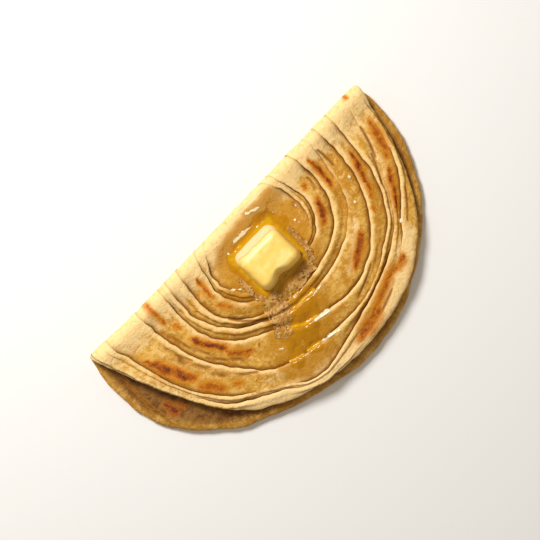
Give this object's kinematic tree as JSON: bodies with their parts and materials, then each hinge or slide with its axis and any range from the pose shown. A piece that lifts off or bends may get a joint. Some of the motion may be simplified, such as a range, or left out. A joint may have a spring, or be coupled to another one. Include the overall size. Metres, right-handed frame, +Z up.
{
  "type": "paratha flatbread",
  "caption": "Layered flaky flatbread folded in half into a half-moon, with coiled ridges and a melting pat of butter on top.",
  "frame": {"origin": "centre of the footprint, on the surface the bread lies on", "axes": "+X along the fold, +Y from the curved rim towards the fold, +Z up"},
  "size_m": [0.2086, 0.1084, 0.0204],
  "materials": {
    "baked_dough": "matte, with browned spots",
    "butter": "soft gloss"
  },
  "bodies": {
    "root": {"paratha": "baked_dough", "butter_pat": "butter"}
  },
  "joints": []
}
